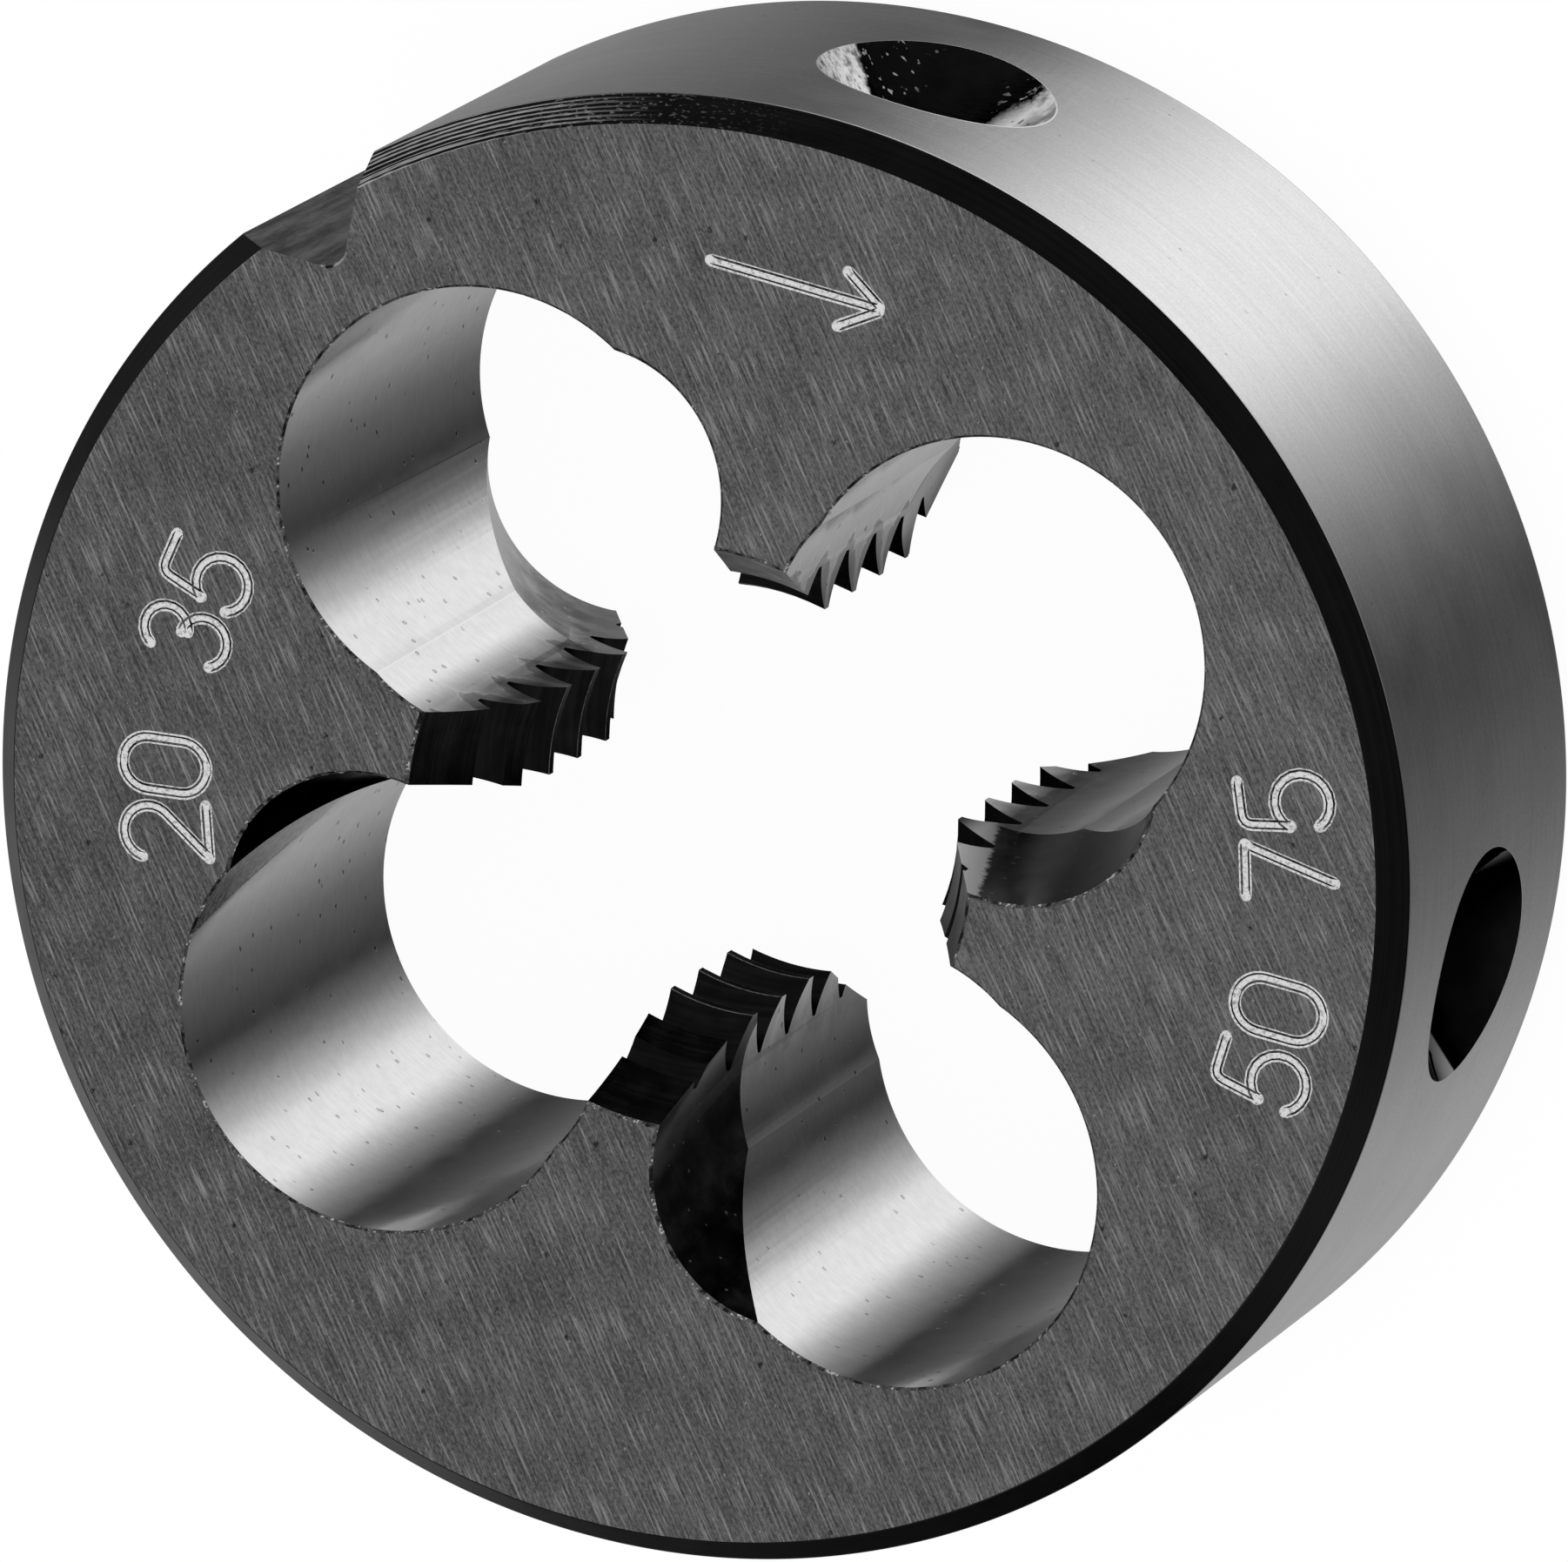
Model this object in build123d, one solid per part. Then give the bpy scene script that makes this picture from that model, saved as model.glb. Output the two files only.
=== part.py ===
from build123d import *
import math
import os

# A round threading die, in millimetres. The origin is the middle of the back face, +Z goes out through the
# marked face, and +Y points to the V-groove in the rim.

# The blank: a turned disc with a chamfer round both faces
outside_diameter = 38.0
thickness = 14.0
chamfer_radial = 0.65
chamfer_axial = 0.75

# The right-hand metric thread that the die cuts. The phase is the height, on the +X side, at which the
# middle of a groove would cross the XZ plane. The flat is the groove's width at the thread's diameter, and
# the groove goes on to its root a clearance further out.
thread_diameter = 14.0
thread_pitch = 2.0
thread_angle = 60.0
thread_phase = 0.76
thread_flat_per_pitch = 0.125
root_clearance = 0.04
tooth_height_per_pitch = 0.63

# The lead-in cones, which open wider than the thread at both faces
lead_margin = 0.6
front_lead_depth = 3.9
back_lead_depth = 3.9

# The chip holes, drilled round. They leave a wall to the rim, and reach inside the circle of the tooth
# tips. Each is then ground wider by two round passes, one for each side of the lands beside it: they lean
# off the line to the thread's axis by the rake angle.
hole_count = 4
rim_wall = 3.55
hole_reach = 1.29
rake_radius = 4.45
rake_bite = 0.535
rake_angle = 23.3

# The spiral entry, a leaning round cut on the cutting side of each chip hole, at both faces. Inward is
# towards the thread's axis from the hole's centre, and sideways is round the die.
entry_diameter = 7.46
entry_inward = 1.2
entry_bite = 0.81
entry_lean_sideways = 16.5
entry_lean_inward = 11.0
entry_length = 7.2

# The V-groove across the rim
groove_depth = 2.03
groove_angle = 90.0
groove_root_radius = 0.6

# The conical dimples in the rim, at this angle each side of the V-groove and of the point opposite it
dimple_diameter = 6.6
dimple_cone_angle = 90.0
dimple_angle = 46.35

# How far a cutter runs past the metal that it cuts, and how much of the way round from one chip hole's
# middle to the next a thread cutter goes
run_out = 1.0
groove_sweep_share = 0.7

outside_radius = outside_diameter / 2
thread_radius = thread_diameter / 2
tip_radius = thread_radius - tooth_height_per_pitch * thread_pitch
hole_radius = (outside_radius - rim_wall - tip_radius + hole_reach) / 2
hole_circle_radius = outside_radius - rim_wall - hole_radius
hole_spacing = 360 / hole_count


def turned(*corners):
    """Solid of revolution about Z from the (radius, height) corners of its half section."""
    with BuildSketch(Plane.XZ) as half_section:
        with BuildLine():
            Polyline(*corners, close=True)
        make_face()
    return revolve(half_section.sketch, Axis.Z)


def blank():
    """The disc with its two chamfers."""
    face_radius = outside_radius - chamfer_radial
    return turned(
        (0, 0),
        (face_radius, 0),
        (outside_radius, chamfer_axial),
        (outside_radius, thickness - chamfer_axial),
        (face_radius, thickness),
        (0, thickness),
    )


def bore():
    """The bore that leaves the tooth tips, with the lead-in cone at each face."""
    mouth_radius = thread_radius + lead_margin
    return turned(
        (0, -run_out),
        (mouth_radius, -run_out),
        (mouth_radius, 0),
        (tip_radius, back_lead_depth),
        (tip_radius, thickness - front_lead_depth),
        (mouth_radius, thickness),
        (mouth_radius, thickness + run_out),
        (0, thickness + run_out),
    )


def chip_hole():
    """Cutter for the chip hole on the +X side, through the whole thickness."""
    pass_distance = hole_radius + rake_bite - rake_radius
    with BuildSketch() as section:
        Circle(hole_radius)
        for side in (-1, 1):
            with Locations(Rot(0, 0, 180 + side * rake_angle) * Pos(pass_distance, 0)):
                Circle(rake_radius)
    cutter = extrude(section.sketch, thickness + 2 * run_out)
    return Pos(hole_circle_radius, 0, -run_out) * cutter


def spiral_entry():
    """Cutter for the leaning cut at the marked face, on the clockwise side of the +X chip hole."""
    entry_radius = entry_diameter / 2
    sideways = hole_radius + entry_bite - entry_radius / math.cos(math.radians(entry_lean_sideways))
    start = Pos(hole_circle_radius - entry_inward, -sideways, thickness)
    lean = Rot(entry_lean_sideways, entry_lean_inward, 0)
    head = 2 * run_out
    cutter = Cylinder(entry_radius, entry_length + head, align=(Align.CENTER, Align.CENTER, Align.MAX))
    return start * lean * Pos(0, 0, head) * cutter


def thread_groove(sweep_angle):
    """Cutter for one turn of one land: a short helical length of the groove, starting on the +X side."""
    slope = math.tan(math.radians(thread_angle / 2))
    nominal_half = thread_flat_per_pitch * thread_pitch / 2
    inner_radius = tip_radius - root_clearance
    root_radius = thread_radius + root_clearance
    inner_half = nominal_half + (thread_radius - inner_radius) * slope
    root_half = nominal_half - root_clearance * slope
    with BuildSketch(Plane.XZ) as section:
        with BuildLine():
            Polyline(
                (inner_radius, -inner_half),
                (root_radius, -root_half),
                (root_radius, root_half),
                (inner_radius, inner_half),
                close=True,
            )
        make_face()
    path = Helix(thread_pitch, thread_pitch * sweep_angle / 360, root_radius)
    return sweep(section.sketch, path=path, is_frenet=True)


def thread_grooves():
    """The grooves of every turn on every land. Each runs a little past both sides of its land."""
    sweep_angle = groove_sweep_share * hole_spacing
    groove = thread_groove(sweep_angle)
    grooves = []
    for land in range(hole_count):
        start_angle = (land + 0.5) * hole_spacing - sweep_angle / 2
        height = (thread_phase + thread_pitch * start_angle / 360) % thread_pitch - thread_pitch
        while height < thickness + thread_pitch:
            grooves.append(Pos(0, 0, height) * Rot(0, 0, start_angle) * groove)
            height += thread_pitch
    return grooves


def rim_groove():
    """Cutter for the V-groove across the rim on the +Y side, with its rounded root."""
    half = math.radians(groove_angle / 2)
    apex = outside_radius - groove_depth - groove_root_radius * (1 / math.sin(half) - 1)
    mouth = outside_radius + run_out
    reach = (mouth - apex) * math.tan(half)
    with BuildSketch() as section:
        with BuildLine():
            Polyline((reach, mouth), (0, apex), (-reach, mouth), close=True)
        make_face()
        fillet(section.vertices().sort_by(Axis.Y)[0], groove_root_radius)
    return Pos(0, 0, -run_out) * extrude(section.sketch, thickness + 2 * run_out)


def dimple(angle):
    """Cutter for one conical dimple, half way up the rim."""
    slope = math.tan(math.radians(dimple_cone_angle / 2))
    depth = dimple_diameter / 2 / slope
    length = depth + run_out
    cone = Cone(0, length * slope, length, align=(Align.CENTER, Align.CENTER, Align.MIN))
    return Rot(0, 0, angle) * Pos(outside_radius - depth, 0, thickness / 2) * Rot(0, 90, 0) * cone


def threading_die():
    """The whole die, one solid."""
    die = blank() - bore()
    turned_over = Pos(0, 0, thickness) * Rot(0, 180, 0)
    for hole in range(hole_count):
        turn = Rot(0, 0, hole * hole_spacing)
        die -= turn * chip_hole()
        die -= turn * spiral_entry()
        die -= turned_over * turn * spiral_entry()
    die -= rim_groove()
    for middle in (90, 270):
        die -= dimple(middle - dimple_angle)
        die -= dimple(middle + dimple_angle)
    for groove in thread_grooves():
        die -= groove
    return die


die = threading_die()
os.makedirs("parts", exist_ok=True)
export_step(die, "parts/threading_die.step")
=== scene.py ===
import math
import bpy
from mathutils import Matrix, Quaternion, Vector


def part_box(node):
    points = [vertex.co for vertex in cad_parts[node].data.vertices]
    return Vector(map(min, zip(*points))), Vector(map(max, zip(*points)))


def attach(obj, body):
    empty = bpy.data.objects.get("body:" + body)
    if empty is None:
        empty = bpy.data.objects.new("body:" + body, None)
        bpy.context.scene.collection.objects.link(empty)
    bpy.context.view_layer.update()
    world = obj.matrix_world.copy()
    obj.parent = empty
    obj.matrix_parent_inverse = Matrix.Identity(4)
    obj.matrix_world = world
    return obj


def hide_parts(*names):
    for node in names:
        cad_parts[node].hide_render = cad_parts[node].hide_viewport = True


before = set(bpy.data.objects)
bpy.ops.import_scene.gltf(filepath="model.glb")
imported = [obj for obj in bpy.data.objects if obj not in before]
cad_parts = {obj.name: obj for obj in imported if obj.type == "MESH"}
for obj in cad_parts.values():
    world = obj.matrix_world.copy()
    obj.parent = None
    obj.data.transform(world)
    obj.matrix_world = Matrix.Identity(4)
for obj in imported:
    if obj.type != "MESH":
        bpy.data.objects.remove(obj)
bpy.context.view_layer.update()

# The die's own sizes, in metres. The outside comes from the frame, and the rest are its maker's.
MM = 0.001
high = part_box("threading_die")[1]
outside_radius = high.x
thickness = high.z
chamfer_radial = 0.65 * MM
chamfer_axial = 0.75 * MM
thread_radius = 7.0 * MM
thread_pitch = 2.0 * MM
thread_angle = math.radians(60)
thread_phase = 0.76 * MM
thread_flat = thread_pitch / 8
root_clearance = 0.04 * MM
tip_radius = 5.74 * MM
lead_radius = 7.6 * MM
lead_depth = 3.9 * MM
hole_radius = 5.5 * MM
hole_circle_radius = 9.95 * MM
rake_radius = 4.45 * MM
rake_bite = 0.535 * MM
rake_angle = math.radians(23.3)
entry_radius = 3.73 * MM
entry_inward = 1.2 * MM
entry_bite = 0.81 * MM
entry_lean_sideways = math.radians(16.5)
entry_lean_inward = math.radians(11.0)
entry_length = 7.2 * MM
groove_half_angle = math.radians(45)
groove_depth = 2.03 * MM
groove_root_radius = 0.6 * MM
dimple_radius = 3.3 * MM
dimple_angle = math.radians(46.35)

# How far a cutter stands out of the metal, how near two corners are one, and how finely round
# things are divided
run_out = 1.0 * MM
one_place = MM / 1000
rim_steps = 360
hole_steps = 160
lead_steps = 320
thread_steps = 96
tip_steps = 2
groove_steps = 12
dimple_steps = 96
corner_steps = 4

# The tap starts this many pitches below the thread's phase, and has this many in all.
pitches_below = 2.5
tap_pitches = 11

# The edge breaks: round the rim, round the holes' mouths and along the tips of the teeth
rim_break = 0.05 * MM
mouth_break = 0.07 * MM
tip_round = 0.03 * MM

# Faces that meet at less than this are shaded as one.
smooth_angle = math.radians(8)

# The marks: what they say, the angle of their middle, their radius, whether their tops point
# outwards, and their height. A numeral's width and the step to the next are shares of its height.
markings = (
    ("20 35", math.radians(136.5), 14.2 * MM, True, 2.3 * MM),
    ("50 75", math.radians(-38.0), 16.1 * MM, False, 2.35 * MM),
    (">", math.radians(44.8), 14.8 * MM, True, 1.8 * MM),
)
numeral_width = 0.6
numeral_step = 0.76

# The section of the furrows that the marks are made of, across and down, in millimetres
furrow_section = [
    (-0.17, 0.05), (-0.17, 0.0), (-0.155, -0.014), (-0.135, -0.014), (-0.125, -0.045),
    (-0.09, -0.05), (-0.075, -0.014), (-0.055, -0.006), (0.05, -0.006), (0.065, -0.014),
    (0.08, -0.055), (0.1, -0.055), (0.11, -0.014), (0.14, -0.014), (0.16, 0.0), (0.16, 0.05),
]

# The depth below which the furrows are painted dark as shade, how round their corners are, and
# how blunt a corner has to be to stay as it is
furrow_dark_depth = 0.032 * MM
furrow_corner = 0.22 * MM
blunt_corner = math.radians(124)

# The dots where strokes begin and end: their radius, their height as a share of it, how near they
# come to each other, and their steps round and up
dot_radius = 0.15 * MM
dot_flatness = 0.45
dot_spacing = 2.2 * dot_radius
dot_segments = 14
dot_rings = 8

# The grinding lines on both faces run this way from +X.
grinding_angle = math.radians(81.5)

# The ridges on the chamfer beside the V-groove are this far apart, in millimetres.
ridge_pitch = 0.105

# How strong the smear-like painted reflection is in the dimple beside the V-groove, round its cone
# from level down
smear_and_reflection_stops = (
    (0.0, 0.9), (0.15, 0.9), (0.24, 0.5), (0.34, 0.6), (0.47, 1.0), (0.58, 0.6), (0.68, 0.0),
    (1.0, 0.0),
)

# The light's level above, and its levels beside and below round the horizon from -X through -Y,
# +X and +Y
above_level = 0.85
beside_stops = (
    (0.0, 0.7), (0.04, 0.55), (0.07, 0.12), (0.2, 0.06), (0.4, 0.3), (0.52, 0.6), (0.7, 0.8),
    (0.85, 0.42), (0.875, 0.25), (0.9, 0.18), (0.92, 0.42), (0.94, 0.55), (1.0, 0.7),
)
below_strength = 1.8
below_stops = (
    (0.0, 0.26), (0.07, 0.31), (0.18, 0.3), (0.29, 0.12), (0.4, 0.035), (0.455, 0.16),
    (0.51, 0.48), (0.55, 0.85), (0.62, 0.9), (0.7, 0.36), (0.725, 0.2), (0.745, 0.05),
    (0.93, 0.21), (1.0, 0.26),
)

# The floor: its width, its tone, and the strength and share of the glow that the camera sees
floor_width = 0.8
floor_tone = 0.9
floor_glow = 1.04
glow_share = 0.92

# The camera: its lens and sensor in millimetres, how near and far it sees, the place that it aims
# at, how far off it stands, and which way it stands and is turned
camera_lens = 416.76
camera_sensor = 36.0
camera_near = 0.05
camera_far = 10.0
camera_aim = (3.165 * MM, -0.02 * MM, 14.0 * MM)
camera_distance = 456.0 * MM
camera_azimuth = math.radians(1.387)
camera_elevation = math.radians(65.426)
camera_roll = math.radians(-122.49)


class Value:
    """A socket in shader maths. An expression on it adds the Math nodes that it needs."""

    def __init__(self, graph, socket):
        self.graph = graph
        self.socket = socket

    def math(self, operation, *others):
        inputs = dict(enumerate((self,) + others))
        return self.graph.add("ShaderNodeMath", {"operation": operation}, inputs)

    def __add__(self, other):
        return self.math("ADD", other)

    def __sub__(self, other):
        return self.math("SUBTRACT", other)

    def __mul__(self, other):
        return self.math("MULTIPLY", other)

    def __truediv__(self, other):
        return self.math("DIVIDE", other)

    def __rsub__(self, other):
        return self.graph.add("ShaderNodeMath", {"operation": "SUBTRACT"}, {0: other, 1: self})

    __radd__ = __add__
    __rmul__ = __mul__


class Graph:
    """The nodes of one finish or of the world."""

    def __init__(self, owner):
        owner.use_nodes = True
        self.owner = owner
        self.tree = owner.node_tree
        self.tree.nodes.clear()

    def add(self, kind, settings=None, inputs=None, output=0):
        """Adds a node with its settings, fills or links its sockets, and gives back an output."""
        node = self.tree.nodes.new(kind)
        for name, setting in (settings or {}).items():
            if name == "stops":
                stops = node.color_ramp.elements
                while len(stops) < len(setting):
                    stops.new(0.5)
                for stop, (position, level) in zip(stops, setting):
                    stop.position = position
                    stop.color = (level, level, level, 1)
            else:
                setattr(node, name, setting)
        for key, given in (inputs or {}).items():
            if isinstance(given, Value):
                self.tree.links.new(given.socket, node.inputs[key])
            else:
                node.inputs[key].default_value = given
        return Value(self, node.outputs[output])

    def place(self):
        """The place on the piece, in millimetres."""
        here = self.add("ShaderNodeTexCoord", output="Object")
        return self.add("ShaderNodeVectorMath", {"operation": "SCALE"}, {0: here, "Scale": 1 / MM})

    def parts(self, vector):
        """The X, Y and Z of a place or direction."""
        node = self.add("ShaderNodeSeparateXYZ", {}, {0: vector}).socket.node
        return [Value(self, output) for output in node.outputs]

    def shifted(self, place, amount, by):
        """The place moved by up to this amount where the value is high, for uneven edges."""
        shift = self.blend(by, 0.0, amount)
        return self.add("ShaderNodeVectorMath", {"operation": "ADD"}, {0: place, 1: shift})

    def stretched(self, place, along_x, along_y, along_z, turn=0.0):
        """The place turned about Z by -turn, then scaled, so that a pattern is stretched."""
        if turn:
            turned = {"rotation_type": "Z_AXIS", "invert": True}
            place = self.add("ShaderNodeVectorRotate", turned, {"Vector": place, "Angle": turn})
        scale = (along_x, along_y, along_z)
        return self.add("ShaderNodeVectorMath", {"operation": "MULTIPLY"}, {0: place, 1: scale})

    def noise(self, place, scale=1.0, detail=2.0, roughness=0.5):
        inputs = {"Vector": place, "Scale": scale, "Detail": detail, "Roughness": roughness}
        return self.add("ShaderNodeTexNoise", {}, inputs)

    def ramp(self, value, start, end, low=0.0, high=1.0):
        """A soft step from low, where the value is at start, to high, where it is at end."""
        inputs = {"Value": value, "From Min": start, "From Max": end, "To Min": low, "To Max": high}
        return self.add("ShaderNodeMapRange", {"interpolation_type": "SMOOTHSTEP"}, inputs)

    def spots(self, place, scale, size, share):
        """A mask of small round spots: so many to the millimetre, on this share of the places."""
        distance = self.add("ShaderNodeTexVoronoi", {}, {"Vector": place, "Scale": scale})
        choice = Value(self, distance.socket.node.outputs["Color"])
        chance = self.add("ShaderNodeSeparateColor", {}, {0: choice})
        return self.ramp(distance, size, size * 0.6) * self.ramp(chance, share, share * 0.8)

    def level_at(self, value, stops):
        """The level that a row of stops gives for a value from 0 to 1."""
        colour = self.add("ShaderNodeValToRGB", {"stops": stops}, {0: value})
        return self.add("ShaderNodeSeparateColor", {}, {0: colour})

    def blend(self, factor, start, end):
        """A colour between two greys or colours."""
        inputs = {0: factor, 6: grey(start), 7: grey(end)}
        return self.add("ShaderNodeMix", {"data_type": "RGBA"}, inputs, output=2)

    def bump(self, height, distance, strength=1.0):
        inputs = {"Height": height, "Distance": distance, "Strength": strength}
        return self.add("ShaderNodeBump", {}, inputs)

    def metal(self, colour, roughness, normal=None, edge=1.0, shine=1.0):
        """Bare metal. The edge is how far it brightens where it is seen at a low angle."""
        inputs = {
            "Base Color": colour, "Metallic": shine, "Roughness": roughness,
            "Specular Tint": grey(edge),
        }
        if normal:
            inputs["Normal"] = normal
        self.show(self.add("ShaderNodeBsdfPrincipled", {}, inputs))

    def show(self, shader, output="ShaderNodeOutputMaterial"):
        end = self.tree.nodes.new(output)
        self.tree.links.new(shader.socket, end.inputs["Surface"])


def grey(level):
    """A plain grey. A colour from another node is passed on."""
    return level if isinstance(level, Value) else (level, level, level, 1)


def finish(name):
    """A new finish. Places in it are in millimetres, and its tones are linear greys."""
    return Graph(bpy.data.materials.new(name))


def bearing(x, y):
    """The angle from X round towards Y, in degrees."""
    return y.math("ARCTAN2", x) * (180 / math.pi)


def ground_steel():
    """Both faces: dark, ground straight, with light and dark lines, small pits and specks, and a
    painted lighting gradient, lighter towards +X.
    """
    g = finish("ground_steel")
    place = g.place()
    x = g.parts(place)[0]
    lines = g.noise(g.stretched(place, 0.7, 15, 15, grinding_angle), detail=2.0, roughness=0.6)
    long_lines = g.noise(g.stretched(place, 0.3, 12, 12, grinding_angle), detail=1.0)
    cloud = g.noise(place, 0.6, 2.0)
    ground = g.noise(g.stretched(place, 7, 15, 15, grinding_angle), detail=3.0, roughness=0.8)
    pits = g.spots(g.shifted(place, 0.35, ground), 1.4, 0.12, 0.35)
    specks = g.spots(g.shifted(place, 0.2, ground), 4.5, 0.14, 0.2)
    # The x term is a painted lighting gradient: the faces grow lighter towards +X.
    level = ground * 0.75 + lines * 0.25 + (cloud - 0.5) * 0.12 + x * 0.0012
    light = g.ramp(lines + (cloud - 0.5) * 0.15, 0.53, 0.74) + g.ramp(long_lines, 0.6, 0.8) * 0.4
    colour = g.blend(g.ramp(level, 0.33, 0.67), 0.062, 0.213)
    colour = g.blend(g.ramp(lines, 0.44, 0.28) * 0.6, colour, 0.045)
    colour = g.blend(light * 0.62, colour, 0.43)
    colour = g.blend(specks * 0.5, colour, 0.6)
    colour = g.blend(pits * 0.8, colour, 0.01)
    g.metal(colour, g.ramp(lines, 0.2, 0.8, 0.36, 0.5), g.bump(level, 0.01 * MM, 0.5))
    return g.owner


def turned_steel():
    """The chamfers: glossy, painted near black as shade, with faint lines, light ridges by the
    V-groove, and a painted sheen towards -Y.
    """
    g = finish("turned_steel")
    place = g.place()
    x, y, z = g.parts(place)
    around = bearing(x, y)
    rings = g.noise(g.stretched(place, 0.1, 0.1, 16), detail=1.0)
    dashes = g.noise(g.stretched(place, 2.6, 2.6, 24), detail=1.0)
    flecks = g.noise(g.stretched(place, 7, 7, 16), detail=1.0)
    cloud = g.noise(place, 0.9, 3.0)
    by_groove = g.ramp(around, 92, 90) * g.ramp(z, 6.9, 7.1)
    ridged = g.ramp(around, 58, 74) * by_groove
    flecked = g.ramp(around, 46, 66) * g.ramp(around, 76, 64) * by_groove
    wave = ((z + (rings - 0.5) * 0.12) * (math.tau / ridge_pitch)).math("SINE")
    ridges = g.ramp(wave + (dashes - 0.5) * 1.8, -0.1, 0.9) * ridged
    ridges = ridges + g.ramp(flecks, 0.59, 0.69) * flecked * 0.27
    # The near-black tones are painted shade.
    colour = g.blend(rings * 0.6 + cloud * 0.4, 0.002, 0.014)
    # A painted sheen lightens the chamfers within about 40 degrees of -78 degrees round from +X.
    colour = g.blend(g.ramp((around + 78).math("ABSOLUTE"), 40, 15), colour, 0.022)
    colour = g.blend(ridges, colour, 0.52)
    normal = g.bump(rings + ridges * 3, 0.004 * MM, 0.6)
    g.metal(colour, g.ramp(cloud, 0.3, 0.7, 0.16, 0.26), normal)
    return g.owner


def rim_steel():
    """The rim: satin, ground round, with faint lines and specks, and a bumped edge with a painted
    highlight round each dimple.
    """
    g = finish("rim_steel")
    place = g.place()
    rings = g.noise(g.stretched(place, 0.3, 0.3, 12), detail=3.0, roughness=0.6)
    cloud = g.noise(place, 0.35, 2.0)
    grain = g.noise(place, 11.0, 2.0, 0.7)
    pits = g.spots(g.shifted(place, 0.35, grain), 1.5, 0.1, 0.3)
    level = rings * 0.4 + cloud * 0.2 + grain * 0.4
    rolled_edge_highlight = g.ramp(from_dimple(g, place) + grain * 0.04, 0.07, 0.03)
    colour = g.blend(g.ramp(level, 0.3, 0.7), 0.52, 0.68)
    colour = g.blend(pits * 0.5, colour, 0.1)
    # Round each dimple's mouth the rim is painted near white: a painted highlight, on a real bump
    # and rougher finish.
    colour = g.blend(rolled_edge_highlight * 0.8, colour, 0.95)
    roughness = g.ramp(cloud, 0.3, 0.7, 0.2, 0.25) + rolled_edge_highlight * 0.2
    g.metal(colour, roughness, g.bump(level - pits + rolled_edge_highlight * 3, 0.003 * MM, 0.5))
    return g.owner


def from_dimple(g, place):
    """How far a place on the rim is outside the mouth of the nearest dimple, in millimetres."""
    x, y, z = g.parts(place)
    x, y = x.math("ABSOLUTE"), y.math("ABSOLUTE")
    middle = math.pi / 2 - dimple_angle
    sideways = y * math.cos(middle) - x * math.sin(middle)
    depth = outside_radius / MM - x * math.cos(middle) - y * math.sin(middle)
    up = z - thickness / 2 / MM
    return (sideways * sideways + up * up).math("SQRT") + depth - dimple_radius / MM


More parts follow.
